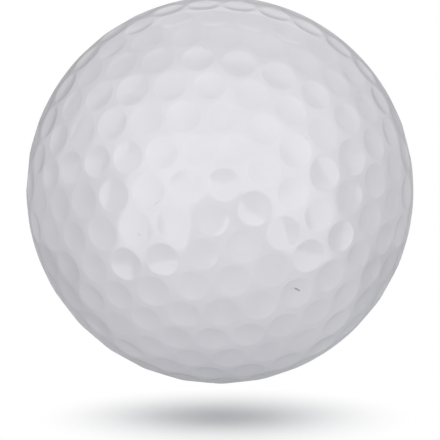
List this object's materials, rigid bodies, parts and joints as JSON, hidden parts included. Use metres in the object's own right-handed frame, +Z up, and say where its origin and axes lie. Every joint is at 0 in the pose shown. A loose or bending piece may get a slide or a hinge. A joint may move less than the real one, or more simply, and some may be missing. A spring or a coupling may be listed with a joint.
{
  "type": "led golf ball",
  "caption": "Golf ball that lights up when struck: a dimpled translucent cover over a clear core holding a board with coin cells, LEDs and an impact switch.",
  "frame": {"origin": "centre of the ball", "axes": "+Z up as the ball is pictured, square to the circuit board and the core's joint; +X along the cell clips; -Y faces the camera"},
  "size_m": [0.0426, 0.0426, 0.0426],
  "materials": {
    "cover_ionomer": "milky white ionomer, high gloss",
    "core_resin": "clear cast resin",
    "board_laminate": "green solder mask over glass laminate",
    "contact_gold": "gold-plated contact",
    "cell_steel": "nickel-plated steel can",
    "clip_steel": "tinned spring steel strip",
    "led_package": "white moulded package",
    "led_resin": "clear domed resin",
    "switch_plastic": "black moulded insulator",
    "pin_brass": "plated brass pin",
    "spring_steel": "bright drawn spring wire",
    "chip_epoxy": "black epoxy with tinned legs",
    "capacitor_ceramic": "tan ceramic block with tinned ends",
    "resistor_ceramic": "black-coated ceramic with tinned ends"
  },
  "bodies": {
    "ball": {"cover_upper": "cover_ionomer", "cover_lower": "cover_ionomer", "core_upper": "core_resin", "core_lower": "core_resin", "circuit_board": "board_laminate", "contact_upper": "contact_gold", "contact_lower": "contact_gold", "coin_cell_upper": "cell_steel", "coin_cell_lower": "cell_steel", "cell_clip_upper": "clip_steel", "cell_clip_lower": "clip_steel", "led_body_1": "led_package", "led_body_2": "led_package", "led_body_3": "led_package", "led_body_4": "led_package", "led_body_5": "led_package", "led_body_6": "led_package", "led_lens_1": "led_resin", "led_lens_2": "led_resin", "led_lens_3": "led_resin", "led_lens_4": "led_resin", "led_lens_5": "led_resin", "led_lens_6": "led_resin", "switch_base": "switch_plastic", "switch_pin": "pin_brass", "controller_chip": "chip_epoxy", "timing_capacitor": "capacitor_ceramic", "resistor_1": "resistor_ceramic", "resistor_2": "resistor_ceramic", "resistor_3": "resistor_ceramic"},
    "spring": {"shock_spring": "spring_steel"}
  },
  "joints": [
    {"name": "spring_sway", "type": "hinge", "parent": "ball", "child": "spring", "pos_m": [-0.00239, 0.00828, -0.00242], "axis": [0, 0, 1], "range_deg": [-5, 5], "stiffness_Nm_per_rad": 0.0002}
  ]
}
